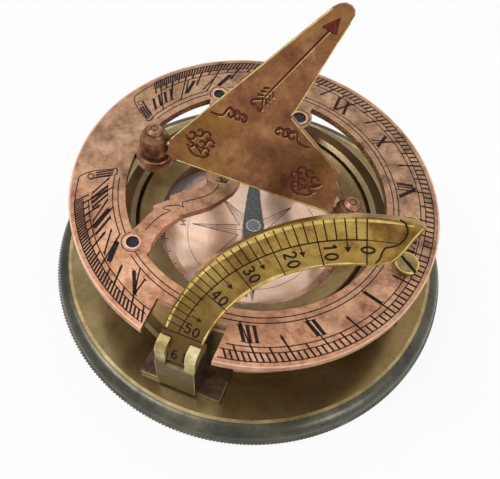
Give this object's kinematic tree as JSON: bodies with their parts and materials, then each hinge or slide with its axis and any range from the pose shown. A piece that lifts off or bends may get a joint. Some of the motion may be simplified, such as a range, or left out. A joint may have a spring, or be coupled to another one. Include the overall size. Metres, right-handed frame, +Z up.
{
  "type": "sundial compass",
  "caption": "Brass compass on a round base, with a hinged hour ring and its posts, a folding gnomon and a curved latitude arc in a clevis.",
  "frame": {"origin": "centre of the face that the base stands on", "axes": "+Z up, +X towards the XII of the hour ring and its hinge, -Y towards the latitude arc and its clevis"},
  "size_m": [0.12, 0.12, 0.082],
  "materials": {
    "base_plate": "polished, aged olive",
    "bottom_cover": "brushed, aged",
    "cover_screws": "turned",
    "compass_bowl": "polished, aged olive",
    "bowl_screws": "turned",
    "glass_retainer": "polished",
    "compass_glass": "clear",
    "compass_dial": "polished copper tone, engraved",
    "degree_ring": "brushed copper tone, engraved",
    "pivot_pin": "turned",
    "compass_needle": "blued",
    "needle_cap": "turned",
    "hour_ring": "satin copper tone, engraved and filled black",
    "hinge_leaf": "satin, aged",
    "hinge_bracket": "satin, aged",
    "hinge_pin": "turned",
    "ring_screws": "turned, slotted",
    "bracket_screws": "turned, slotted",
    "south_post": "polished, dark bronze tone",
    "north_post": "polished, dark bronze tone",
    "post_nuts": "satin",
    "gnomon": "satin with a reddish patina, engraved",
    "gnomon_pivots": "turned",
    "latitude_arc": "polished, engraved and filled black",
    "arc_pin": "turned",
    "arc_clevis": "satin",
    "clevis_plate": "satin, dark patina",
    "clevis_screws": "turned"
  },
  "bodies": {
    "base": {"base_plate": "base_plate", "bottom_cover": "bottom_cover", "cover_screws": "cover_screws", "compass_bowl": "compass_bowl", "bowl_screws": "bowl_screws", "glass_retainer": "glass_retainer", "compass_glass": "compass_glass", "compass_dial": "compass_dial", "degree_ring": "degree_ring", "pivot_pin": "pivot_pin", "hinge_bracket": "hinge_bracket", "bracket_screws": "bracket_screws", "arc_clevis": "arc_clevis", "arc_pin": "arc_pin", "clevis_plate": "clevis_plate", "clevis_screws": "clevis_screws"},
    "needle": {"compass_needle": "compass_needle", "needle_cap": "needle_cap"},
    "ring": {"hour_ring": "hour_ring", "hinge_leaf": "hinge_leaf", "hinge_pin": "hinge_pin", "ring_screws": "ring_screws", "south_post": "south_post", "north_post": "north_post", "post_nuts": "post_nuts"},
    "gnomon": {"gnomon": "gnomon", "gnomon_pivots": "gnomon_pivots"},
    "arc": {"latitude_arc": "latitude_arc"}
  },
  "joints": [
    {"name": "ring_tilt", "type": "hinge", "parent": "base", "child": "ring", "pos_m": [0.0467, 0, 0.0257], "axis": [0, 1, 0], "range_deg": [0, 61.9]},
    {"name": "arc_fold", "type": "hinge", "parent": "base", "child": "arc", "pos_m": [-0.00175, -0.048, 0.0257], "axis": [1, 0, 0], "range_deg": [0, 74.3]},
    {"name": "gnomon_fold", "type": "hinge", "parent": "ring", "child": "gnomon", "pos_m": [-0.00239, 0, 0.04034], "axis": [0.999, 0, -0.0454], "range_deg": [-60, 30]},
    {"name": "needle_spin", "type": "hinge", "parent": "base", "child": "needle", "pos_m": [0, 0, 0.0154], "axis": [0, 0, 1], "continuous": true}
  ],
  "couplings": [
    {"joint": "arc_fold", "follows": "ring_tilt", "ratio": 1.2}
  ]
}
